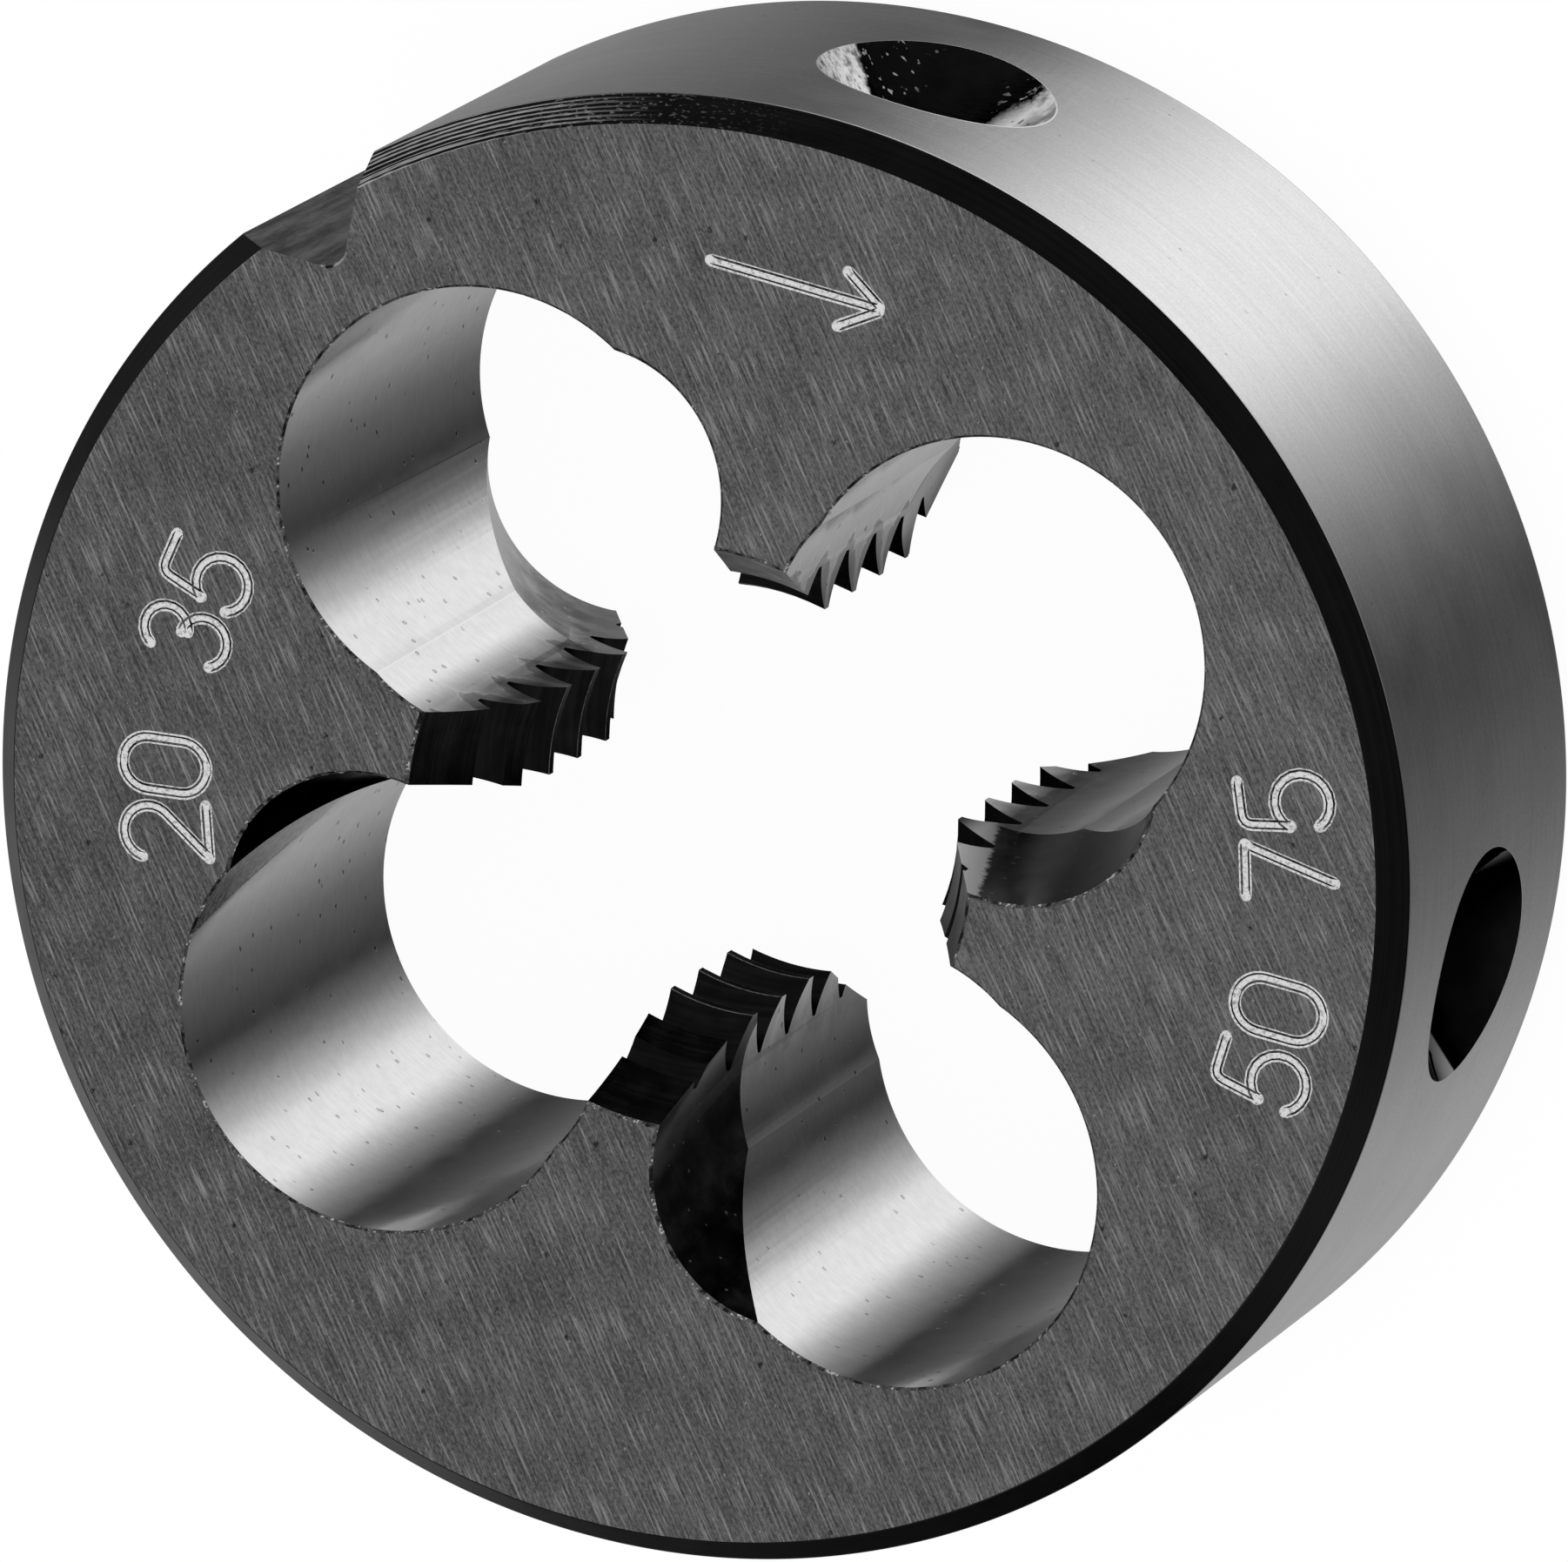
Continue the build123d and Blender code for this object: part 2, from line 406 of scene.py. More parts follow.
def hole_steel():
    """The chip holes' walls: smooth and light, with fine lines, pits, dents by the teeth, and
    painted shade and highlights.
    """
    g = finish("hole_steel")
    place = g.place()
    x, y, z = g.parts(place)
    facing_x, facing_y = g.parts(g.add("ShaderNodeTexCoord", output="Normal"))[:2]
    lines = g.noise(g.stretched(place, 1.3, 1.3, 9), detail=3.0, roughness=0.65)
    waves = g.noise(g.stretched(place, 1.2, 1.2, 0.5), detail=1.0)
    grains = g.noise(place, 3.5, 2.0)
    torn = g.noise(place, 5.0, 3.0, 0.75)
    pits = g.spots(g.shifted(place, 0.25, lines), 1.7, 0.14, 0.9)
    past = past_drill(x, y)
    crease = g.ramp(past, 0.002, 0.004) * g.ramp(past, 0.016, 0.01)
    from_axis = (x * x + y * y).math("SQRT")
    smears = g.noise(g.stretched(place, 1, 1, 0.8), detail=1.0) * g.ramp(from_axis, 8.4, 7.0)
    turns = y.math("ARCTAN2", x) / math.tau
    pitches = (z - thread_phase / MM) / (thread_pitch / MM) - turns
    from_tooth = (pitches + 0.5 + (smears - 0.5) * 0.3).math("FRACT") - 0.5
    # Painted shade in the hollows at the teeth's ends, with a painted highlight along their rims,
    # both stronger towards +Y.
    hollow_shade = g.ramp(from_axis + (grains - 0.5) * 0.8, 7.9, 6.5, 0.0, 0.5)
    hollow_shade = hollow_shade - from_tooth.math("ABSOLUTE")
    hollow_rim_highlight = g.ramp((hollow_shade - 0.03).math("ABSOLUTE"), 0.04, 0.01)
    hollow_strength = g.ramp(y, 0.0, 5.0, 0.15, 1.0)
    # A painted highlight at the teeth's ends on the land between the +X and -Y holes.
    painted_light_end = g.ramp(from_axis + (grains - 0.5) * 0.5, 6.7, 6.58)
    painted_light_end = painted_light_end * g.ramp(y, -2.0, -3.0) * g.ramp(x, 4.0, 4.4)
    # Painted shade: the walls that face 60 degrees round from +X are painted darker.
    painted_shade_way = math.radians(60)
    painted_shade = g.ramp(facing_x * math.cos(painted_shade_way) + facing_y * math.sin(painted_shade_way), 0.78, 0.94)
    inside_band = beside_entry(g, x, y, z) + (torn - 0.5) * 0.3
    band = g.ramp(inside_band, 0.0, 0.06)
    band_edge = g.ramp((inside_band - 0.06).math("ABSOLUTE"), 0.1, 0.03) * g.ramp(z, 8, 10)
    shade = g.ramp(z, 10.8, 13.0, 0.72, 0.99) * g.ramp(torn, 0.44, 0.58, 1.0, 0.5)
    colour = g.blend(g.ramp(lines * 0.6 + grains * 0.4, 0.35, 0.65), 0.54, 0.6)
    # The crease is painted a little lighter: a painted highlight along it.
    colour = g.blend(crease, colour, 0.6)
    colour = g.blend(g.ramp(hollow_shade, 0.03, 0.12) * hollow_strength * 0.7, colour, 0.12)
    colour = g.blend(hollow_rim_highlight * hollow_strength * 0.3, colour, 0.9)
    colour = g.blend(painted_light_end * 0.9, colour, 1.0)
    colour = g.blend(painted_shade * 0.52, colour, 0.0)
    colour = g.blend(pits * g.ramp(facing_y, 0.3, -0.3, 0.4, 0.95), colour, 0.06)
    colour = g.blend(band * shade, colour, 0.03)
    colour = g.blend(band_edge * 0.8, colour, 0.02)
    height = lines * 0.07 + grains * 0.15 + waves - pits + smears * 6 + band * torn * 2
    g.metal(colour, g.ramp(waves, 0.3, 0.7, 0.12, 0.18), g.bump(height, 0.01 * MM, 0.5))
    return g.owner


def past_drill(x, y):
    """How far a place on a chip hole's wall is outside the drilled circle, in millimetres."""
    x, y = x.math("ABSOLUTE"), y.math("ABSOLUTE")
    outwards = x.math("MAXIMUM", y) - hole_circle_radius / MM
    sideways = x.math("MINIMUM", y)
    return (outwards * outwards + sideways * sideways).math("SQRT") - hole_radius / MM


def beside_entry(g, x, y, z):
    """How far a place is inside the torn band by the -X hole's front entry, in millimetres."""
    around = bearing(x + hole_circle_radius / MM, y)
    band_end = 107 + (z - thickness / 2 / MM) * 2.88
    inside = (band_end - around) * (hole_radius / MM * math.pi / 180)
    there = g.ramp(x, -7.5, -8.5) * g.ramp(z, 6.0, 7.5) * g.ramp(around, 70, 80)
    return inside * there - 2 * (1 - there)


def entry_steel(name, edge):
    """The spiral entries: glossy, painted black as shade, with specks.

    The back one beside the V-groove is light, and the front one on the +X side has painted
    highlights at its end by the teeth and beside them.
    """
    g = finish(name)
    place = g.place()
    x, y, z = g.parts(place)
    cloud = g.noise(place, 1.1, 4.0, 0.6)
    specks = g.spots(place, 3.4, 0.2, 0.25)
    light_back = g.ramp(z, 7.2, 6.5) * g.ramp(y, 2.0, 4.0)
    right_front = g.ramp(x - y, 8.0, 9.0) * g.ramp(z, 8.0, 9.0)
    # A painted highlight on the front entry beside the teeth.
    belly_highlight = g.ramp(x, 5.9, 6.8) * g.ramp(x, 8.0, 7.0, 0.3, 1.0) * right_front
    ragged = (g.noise(place, 5.0, 3.0, 0.7) - 0.5) * 0.3 - (z - 10.7) * 0.135
    # A painted highlight at the end of the front entry by the teeth.
    painted_light_end = g.ramp(x + ragged, 5.68, 5.56) * right_front
    # The near-black tones are painted shade.
    colour = g.blend(g.ramp(cloud, 0.35, 0.8), 0.006, 0.04)
    colour = g.blend(light_back, colour, g.blend(g.ramp(cloud, 0.35, 0.7), 0.66, 0.82))
    colour = g.blend(belly_highlight, colour, 0.19)
    colour = g.blend(painted_light_end, colour, 0.5)
    colour = g.blend(specks * 0.5, colour, 0.25)
    g.metal(colour, g.ramp(cloud, 0.3, 0.7, 0.12, 0.22), g.bump(specks, 0.01 * MM, 0.5), edge)
    return g.owner


def tooth_steel(name, dark, light):
    """The teeth or the lead-in cones: glossy, painted black as shade, with faint turned lines."""
    g = finish(name)
    place = g.place()
    rings = g.noise(g.stretched(place, 0.3, 0.3, 12), detail=2.0)
    cloud = g.noise(place, 1.4, 3.0)
    # The near-black tones are painted shade.
    colour = g.blend(g.ramp(rings * 0.6 + cloud * 0.4, 0.35, 0.75), dark, light)
    g.metal(colour, g.ramp(cloud, 0.3, 0.7, 0.16, 0.26), g.bump(rings, 0.004 * MM, 0.2), 0.5)
    return g.owner


def tip_highlight_steel():
    """The teeth's rounded tips: light lines along them, a painted highlight."""
    g = finish("tip_highlight_steel")
    grain = g.noise(g.place(), 9.0, 2.0)
    g.metal(g.blend(g.ramp(grain, 0.3, 0.7), 0.1, 0.26), g.ramp(grain, 0.3, 0.7, 0.25, 0.4))
    return g.owner


def burr_steel():
    """The broken edges round the holes' mouths: rough and dark, with light burrs like beads."""
    g = finish("burr_steel")
    place = g.place()
    grain = g.noise(place, 3.2, 3.0, 0.7)
    beads = g.noise(place, 11.0, 2.0)
    colour = g.blend(g.ramp(grain, 0.36, 0.56), 0.015, 0.14)
    colour = g.blend(g.ramp(beads + (grain - 0.5) * 1.2, 0.64, 0.72), colour, 0.6)
    by_groove = g.ramp(g.parts(place)[1], 15.8, 16.0) * g.ramp(grain, 0.4, 0.5)
    colour = g.blend(by_groove, colour, 0.5)
    g.metal(colour, 0.45, g.bump(beads, 0.03 * MM, 0.8))
    return g.owner


def mark_steel():
    """The marks' ridges: rough and bright, partly from their own rough steel and partly a painted
    highlight.
    """
    g = finish("mark_steel")
    place = g.place()
    grain = g.noise(place, 10.0, 3.0, 0.7)
    g.metal(g.blend(g.ramp(grain, 0.32, 0.54), 0.45, 1.0), 0.5, g.bump(grain, 0.03 * MM, 0.7))
    return g.owner


def furrow_steel():
    """The gap between the marks' ridges: rough, and painted dark as shade."""
    g = finish("furrow_steel")
    grain = g.noise(g.place(), 8.0, 2.0)
    g.metal(g.blend(g.ramp(grain, 0.35, 0.65), 0.03, 0.2), 0.5)
    return g.owner


def dimple_steel():
    """The dimples: smooth and glossy, painted black as shade.

    The +X one away from the V-groove has a grey patch and a dark slit at one end, and a painted
    highlight and a torn patch at the other.
    """
    g = finish("dimple_steel")
    place = g.place()
    cloud = g.noise(place, 1.2, 2.0)
    turned = g.stretched(place, 1, 1, 1, dimple_angle - math.pi / 2)
    outwards, sideways, height = g.parts(turned)
    ragged = (g.noise(place, 5.0, 3.0, 0.7) - 0.5) * 0.25
    here = g.ramp(outwards, 14, 15) * g.ramp(height, 8.4, 8.0)
    patch = g.ramp(height, 6.42, 6.54) * g.ramp(sideways, -1.9, -2.1) * here
    from_slit = (height - 7.02 + (sideways + 2.48) * 1.68).math("ABSOLUTE")
    slit = g.ramp(from_slit, 0.14, 0.07) * g.ramp(height, 6.95, 7.1)
    # glow is a painted highlight that lightens one end of this dimple.
    glow = g.ramp(sideways + (height - 5.5) * 0.8, 1.6, 3.0) * here
    torn = g.ramp(height + ragged, 5.5, 5.62) * g.ramp(sideways + ragged, 1.5, 1.7) * here
    # The near-black tones are painted shade.
    colour = g.blend(cloud, 0.003, 0.012)
    colour = g.blend(glow, colour, 0.5)
    colour = g.blend(torn, colour, g.blend(g.ramp(ragged, -0.06, 0.05), 0.02, 0.12))
    colour = g.blend(patch, colour, 0.45)
    colour = g.blend(slit * patch, colour, 0.003)
    g.metal(colour, g.ramp(cloud, 0.3, 0.7, 0.12, 0.2), edge=0.12)
    return g.owner


def smear_and_reflection_steel():
    """The dimple beside the V-groove on the +X side: painted black as shade, with bright painted
    reflections mottled like smears, and flecks.
    """
    g = finish("smear_and_reflection_steel")
    place = g.place()
    cloud = g.noise(place, 1.2, 2.0)
    turned = g.stretched(place, 1, 1, 1, math.pi / 2 - dimple_angle)
    outwards, sideways, height = g.parts(turned)
    depth = outside_radius / MM - outwards
    wobble = g.noise(place, 1.8, 4.0, 0.7) - 0.5
    mottles = g.noise(g.stretched(turned, 4, 2.5, 6), detail=3.0, roughness=0.6)
    # left and right are painted reflections: bright mottled patches on the cone's sides, made less
    # metallic where they lie.
    left = g.ramp(sideways + (height - 6) * 1.5 + wobble * 1.1, 2.1, 2.5)
    around = bearing(0 - sideways, 7 - height) + (1.2 - depth) * 8
    around = around + wobble * g.ramp(depth, 0.9, 0.2, 10, 60)
    right = g.level_at(around / 90, smear_and_reflection_stops) * g.ramp(sideways, 0, -0.5)
    fleck_shape = g.noise(g.stretched(turned, 4, 4, 9), detail=1.0)
    flecks = g.ramp(fleck_shape, 0.65, 0.71) * g.ramp(sideways.math("ABSOLUTE"), 0.8, 1.6)
    left = left * g.ramp(mottles, 0.32, 0.58, 0.25, 1.0)
    right = right * g.ramp(mottles, 0.3, 0.38, 0.3, 1.0)
    # The near-black tones are painted shade.
    colour = g.blend(cloud, 0.003, 0.012)
    colour = g.blend(flecks * 0.7, colour, 0.7)
    colour = g.blend(left, colour, 0.95)
    colour = g.blend(right, colour, 1.0)
    roughness = g.ramp(cloud, 0.3, 0.7, 0.12, 0.2) + right * 0.35 + left * 0.15
    shine = 1 - right * 0.9 - left * 0.4
    g.metal(colour, roughness, g.bump(mottles, 0.04 * MM, 0.5), 0.3, shine)
    return g.owner


def groove_steel():
    """The V-groove: milled, mid grey with soft streaks along it."""
    g = finish("groove_steel")
    place = g.place()
    streaks = g.noise(g.stretched(place, 3, 3, 0.35), detail=3.0, roughness=0.6)
    grain = g.noise(place, 9.0, 2.0)
    level = streaks * 0.75 + grain * 0.25
    colour = g.blend(g.ramp(level, 0.3, 0.7), 0.08, 0.24)
    g.metal(colour, g.ramp(streaks, 0.3, 0.7, 0.25, 0.4), g.bump(level, 0.01 * MM, 0.6))
    return g.owner


def deselect_all():
    bpy.ops.object.select_all(action="DESELECT")


def make_active(piece):
    deselect_all()
    piece.select_set(True)
    bpy.context.view_layer.objects.active = piece


def edit(piece):
    make_active(piece)
    bpy.ops.object.mode_set(mode="EDIT")
    bpy.ops.mesh.select_mode(type="VERT")


def leave_edit():
    bpy.ops.object.mode_set(mode="OBJECT")


def settle(piece):
    """Puts the piece's place into its mesh, so that its object sits at the origin."""
    make_active(piece)
    bpy.ops.object.transform_apply(location=True, rotation=True, scale=True)


def apply_modifiers(piece):
    make_active(piece)
    for modifier in list(piece.modifiers):
        bpy.ops.object.modifier_apply(modifier=modifier.name)


def dress(piece, *steels):
    """Gives the piece its finishes. The first is used all over until faces are given another."""
    for steel in steels:
        piece.data.materials.append(steel)


def cut(piece, cutter, operation="DIFFERENCE"):
    """Cuts the cutter out of the piece, or joins it on, and throws the cutter away."""
    modifier = piece.modifiers.new("cut", "BOOLEAN")
    modifier.operation = operation
    modifier.object = cutter
    modifier.solver = "MANIFOLD"
    modifier.material_mode = "TRANSFER"
    apply_modifiers(piece)
    bpy.data.objects.remove(cutter)


def turn_over(piece):
    """Turns a cutter for the marked face over, to work on the back face."""
    piece.rotation_euler = (math.pi, 0, 0)
    piece.location = (0, 0, thickness)
    settle(piece)


def select(piece, kind, wanted):
    """Goes into edit mode with those faces, edges or corners selected that wanted() picks."""
    leave_edit()
    edit(piece)
    bpy.ops.mesh.select_mode(type=kind)
    bpy.ops.mesh.select_all(action="DESELECT")
    leave_edit()
    mesh = piece.data
    parts = {"FACE": mesh.polygons, "EDGE": mesh.edges, "VERT": mesh.vertices}[kind]
    for part in parts:
        part.select = wanted(part)
    bpy.ops.object.mode_set(mode="EDIT")


def at_height(place, height):
    return abs(place.z - height) < one_place


def weld():
    """Merges the corners of the piece in edit mode that are in one place."""
    bpy.ops.mesh.select_all(action="SELECT")
    bpy.ops.mesh.remove_doubles(threshold=one_place)


def face_outwards():
    bpy.ops.mesh.select_all(action="SELECT")
    bpy.ops.mesh.normals_make_consistent(inside=False)


def line_through(name, points):
    """A line of edges through the points, drawn out of one corner, one extrusion for each point."""
    deselect_all()
    bpy.ops.mesh.primitive_plane_add(size=MM)
    piece = bpy.context.object
    piece.name = name
    edit(piece)
    bpy.ops.mesh.select_all(action="SELECT")
    bpy.ops.mesh.merge(type="CENTER")
    bpy.ops.transform.translate(value=points[0])
    for before, after in zip(points, points[1:]):
        step = Vector(after) - Vector(before)
        bpy.ops.mesh.extrude_vertices_move(TRANSFORM_OT_translate={"value": step})
    leave_edit()
    return piece


def prism(name, outline):
    """A cutter with this outline in XY, from below the back face to above the marked face."""
    points = [(x, y, -run_out) for x, y in outline]
    height = thickness + 2 * run_out
    piece = line_through(name, points + points[:1])
    edit(piece)
    weld()
    bpy.ops.mesh.edge_face_add()
    bpy.ops.mesh.extrude_region_move(TRANSFORM_OT_translate={"value": (0, 0, height)})
    face_outwards()
    leave_edit()
    return piece


def arc(centre, radius, start, end, steps):
    """Points round an arc in the XY plane, both ends included."""
    points = []
    for step in range(steps + 1):
        angle = start + (end - start) * step / steps
        x = centre[0] + radius * math.cos(angle)
        y = centre[1] + radius * math.sin(angle)
        points.append((x, y))
    return points


def blank():
    """The turned disc: a cylinder with inset ends, whose corners are moved in for chamfers."""
    deselect_all()
    bpy.ops.mesh.primitive_cylinder_add(
        vertices=rim_steps, radius=outside_radius, depth=thickness, location=(0, 0, thickness / 2)
    )
    piece = bpy.context.object
    piece.name = "die"
    settle(piece)
    dress(piece, ground_steel(), turned_steel(), rim_steel())
    inner = outside_radius - chamfer_radial / 2
    for end, inwards in ((0, 1), (thickness, -1)):
        select(piece, "FACE", lambda face: at_height(face.center, end))
        bpy.ops.mesh.inset(thickness=chamfer_radial)
        select(piece, "VERT", lambda spot: spot.co.xy.length > inner and at_height(spot.co, end))
        bpy.ops.transform.translate(value=(0, 0, inwards * chamfer_axial))

    def is_level(edge):
        first, last = [piece.data.vertices[number].co for number in edge.vertices]
        return at_height(first, last.z)

    select(piece, "EDGE", is_level)
    bpy.ops.mesh.bevel(offset=rim_break, segments=2, affect="EDGES")
    leave_edit()
    for polygon in piece.data.polygons:
        flat = abs(polygon.normal.z)
        polygon.material_index = 0 if flat > 0.9 else 1 if flat > 0.4 else 2
    return piece


def hole_outline():
    """Corners of the +X chip hole's section: the drilled circle and its two wider passes."""
    distance = hole_radius + rake_bite - rake_radius
    pass_x = -distance * math.cos(rake_angle)
    pass_y = distance * math.sin(rake_angle)
    along = (hole_radius**2 - rake_radius**2 + distance**2) / (2 * distance)
    meet = math.pi - rake_angle - math.acos(along / hole_radius)
    meet_x = hole_radius * math.cos(meet)
    meet_y = hole_radius * math.sin(meet)
    start = math.atan2(meet_y - pass_y, meet_x - pass_x)
    end = math.pi + math.asin(pass_y / rake_radius)
    drilled_steps = round(hole_steps * meet / math.tau)
    pass_steps = round(hole_steps * (end - start) / math.tau)
    upper = arc((0, 0), hole_radius, 0, meet, drilled_steps)
    upper += arc((pass_x, pass_y), rake_radius, start, end, pass_steps)[1:]
    lower = [(x, -y) for x, y in reversed(upper[1:-1])]
    return [(x + hole_circle_radius, y) for x, y in upper + lower]


def chip_hole_cutter(wall, entry):
    """The chip hole on the +X side, with the two spiral entries that open into it."""
    piece = prism("chip_hole", hole_outline())
    dress(piece, wall)
    for front in (True, False):
        cut(piece, spiral_entry(front, entry), "UNION")
    return piece


def spiral_entry(front, steel):
    """The leaning round cut beside the +X chip hole, at the marked face or at the back face."""
    head = 2 * run_out
    length = entry_length + head
    sideways = hole_radius + entry_bite - entry_radius / math.cos(entry_lean_sideways)
    deselect_all()
    bpy.ops.mesh.primitive_cylinder_add(vertices=hole_steps, radius=entry_radius, depth=length)
    piece = bpy.context.object
    piece.name = "spiral_entry"
    dress(piece, steel)
    piece.location = (0, 0, head - length / 2)
    settle(piece)
    piece.rotation_euler = (entry_lean_sideways, entry_lean_inward, 0)
    piece.location = (hole_circle_radius - entry_inward, -sideways, thickness)
    settle(piece)
    if not front:
        turn_over(piece)
    return piece


def tap(steel, edge):
    """A tap that fills the thread: one pitch of its outline is screwed up past both faces."""
    slope = math.tan(thread_angle / 2)
    flank_turn = math.pi / 2 - thread_angle / 2
    root_radius = thread_radius + root_clearance
    root_half = thread_flat / 2 - root_clearance * slope
    crest_half = thread_pitch / 2 - thread_flat / 2 - (thread_radius - tip_radius) * slope
    centre = (tip_radius + tip_round, crest_half - tip_round * math.tan(flank_turn / 2))
    half = arc(centre, tip_round, math.pi, math.pi - flank_turn, tip_steps)
    half += [(root_radius, thread_pitch / 2 - root_half)]
    outline = [(r, -z) for r, z in reversed(half)] + half
    outline += [(root_radius, thread_pitch / 2 + root_half)]
    middle = thread_phase - pitches_below * thread_pitch
    piece = line_through("tap", [(r, 0, middle + z) for r, z in outline])
    dress(piece, steel, edge)
    screw = piece.modifiers.new("screw", "SCREW")
    screw.axis = "Z"
    screw.angle = math.tau
    screw.screw_offset = thread_pitch
    screw.iterations = tap_pitches
    screw.steps = thread_steps
    screw.render_steps = thread_steps
    apply_modifiers(piece)
    edit(piece)
    weld()
    for height, way in ((-run_out, -1), (thickness + run_out, 1)):
        bpy.ops.mesh.select_all(action="SELECT")
        bpy.ops.mesh.bisect(
            plane_co=(0, 0, height), plane_no=(0, 0, way), use_fill=True, clear_outer=True,
            threshold=one_place / 10,
        )
    face_outwards()
    leave_edit()
    for polygon in piece.data.polygons:
        near_tip = polygon.center.xy.length < tip_radius + tip_round / 2
        polygon.material_index = 1 if near_tip and abs(polygon.normal.z) > 0.1 else 0
    return piece


def lead_cone(front, steel):
    """The lead-in at one face: a cone down to the tooth tips, with a straight head above."""
    deselect_all()
    bpy.ops.mesh.primitive_cone_add(
        vertices=lead_steps, radius1=tip_radius, radius2=lead_radius, depth=lead_depth,
        location=(0, 0, thickness - lead_depth / 2),
    )
    piece = bpy.context.object
    piece.name = "lead"
    dress(piece, steel)
    settle(piece)
    select(piece, "FACE", lambda face: face.normal.z > 0.9)
    bpy.ops.mesh.extrude_region_move(TRANSFORM_OT_translate={"value": (0, 0, run_out)})
    leave_edit()
    if not front:
        turn_over(piece)
    return piece


def rim_groove(steel):
    """The V-groove's cutter: a triangle with a rounded root, drawn up through the die."""
    half = groove_half_angle
    root = outside_radius - groove_depth + groove_root_radius
    mouth = outside_radius + run_out
    side_x = groove_root_radius * math.cos(half)
    side_y = root - groove_root_radius * math.sin(half)
    reach = side_x + (mouth - side_y) * math.tan(half)
    outline = arc((0, root), groove_root_radius, -half, half - math.pi, groove_steps)
    piece = prism("groove", [(reach, mouth)] + outline + [(-reach, mouth)])
    dress(piece, steel)
    return piece


def dimple(angle, steel):
    """A cone that stands on its point in the rim, half way up. It is as deep as its radius."""
    length = dimple_radius + run_out
    deselect_all()
    bpy.ops.mesh.primitive_cone_add(vertices=dimple_steps, radius1=0, radius2=length, depth=length)
    piece = bpy.context.object
    piece.name = "dimple"
    dress(piece, steel)
    piece.location = (0, 0, outside_radius - dimple_radius + length / 2)
    settle(piece)
    piece.rotation_euler = (0, math.pi / 2, angle)
    piece.location = (0, 0, thickness / 2)
    settle(piece)
    return piece


def break_mouths(die, steel):
    """Breaks the edges that the holes, the lead-ins and the groove leave in both faces.

    Such an edge has the face on one side and a wall on the other. The marks' edges stay sharp.
    """
    dress(die, steel)
    marks = ("mark_steel", "furrow_steel")
    inner = outside_radius - chamfer_radial - 3 * rim_break
    sides = {}
    for polygon in die.data.polygons:
        marked = die.data.materials[polygon.material_index].name in marks
        flat = None if marked else abs(polygon.normal.z) > 0.99
        for key in polygon.edge_keys:
            sides.setdefault(key, set()).add(flat)

    def at_a_mouth(edge):
        ends = [die.data.vertices[end].co for end in edge.vertices]
        in_face = all(at_height(end, 0) or at_height(end, thickness) for end in ends)
        inside = all(end.xy.length < inner for end in ends)
        return in_face and inside and sides[edge.key] == {False, True}

    select(die, "EDGE", at_a_mouth)
    bpy.ops.mesh.bevel(
        offset=mouth_break, segments=1, affect="EDGES", clamp_overlap=False,
        material=len(die.data.materials) - 1,
    )
    leave_edit()


def stroke_points(mark):
    """The strokes of a numeral in a box 0.6 wide and 1 high, as lists of points, or an arrow."""
    turn = math.radians
    if mark == "0":
        left = arc((0.3, 0.7), 0.3, turn(80), turn(180), 8)
        left += arc((0.3, 0.3), 0.3, turn(180), turn(280), 8)
        right = arc((0.3, 0.3), 0.3, turn(-92), 0, 8) + arc((0.3, 0.7), 0.3, 0, turn(92), 8)
        return [left, right]
    if mark == "2":
        bowl = arc((0.3, 0.7), 0.3, turn(160), turn(-40), 14)
        return [bowl + [(0.03, 0.03)], [(0.0, 0.0), (0.6, 0.0)]]
    if mark == "3":
        upper = arc((0.3, 0.74), 0.26, turn(150), turn(-80), 12)
        lower = arc((0.3, 0.28), 0.28, turn(85), turn(-150), 14)
        return [upper, lower]
    if mark == "5":
        bowl = arc((0.28, 0.3), 0.31, turn(145), turn(-150), 16)
        return [[(0.56, 1.0), (0.09, 1.0), (0.04, 0.46)], bowl]
    if mark == "7":
        return [[(0.02, 1.0), (0.58, 1.0)], [(0.56, 0.96), (0.2, 0.0)]]
    return [[(-1.0, 0.5), (1.55, 0.5)], [(1.0, 0.9), (1.55, 0.53)], [(1.55, 0.47), (1.0, 0.1)]]


def eased(line, radius):
    """The points of the line, with a round corner of about this radius for each sharp one."""
    rounded = [line[0]]
    for before, corner, after in zip(line, line[1:], line[2:]):
        back, forth = before - corner, after - corner
        half = back.angle(forth) / 2
        if half > blunt_corner / 2:
            rounded.append(corner)
            continue
        reach = radius * math.cos(half) / math.sin(half) ** 2
        start = corner + back.normalized() * reach
        end = corner + forth.normalized() * reach
        for step in range(corner_steps + 1):
            share = step / corner_steps
            rounded.append(start.lerp(corner, share).lerp(corner.lerp(end, share), share))
    return rounded + [line[-1]]


def strokes_on_face():
    """The marks' strokes in their places: the first ones, then the second and third over them."""
    strokes = ([], [], [])
    for text, middle, radius, outwards, height in markings:
        way = -1 if outwards else 1
        width = numeral_width * height
        pitch = numeral_step * height
        start = -pitch * (len(text) - 1) / 2
        for number, mark in enumerate(text):
            if mark == " ":
                continue
            angle = middle + way * (start + pitch * number) / radius
            out = Vector((math.cos(angle), math.sin(angle)))
            across = Vector((-math.sin(angle), math.cos(angle))) * way
            up = out * -way
            for turn, points in enumerate(stroke_points(mark)):
                placed = [
                    out * radius + across * (x * height - width / 2) + up * (y - 0.5) * height
                    for x, y in points
                ]
                strokes[turn].append(eased(placed, furrow_corner))
    return strokes


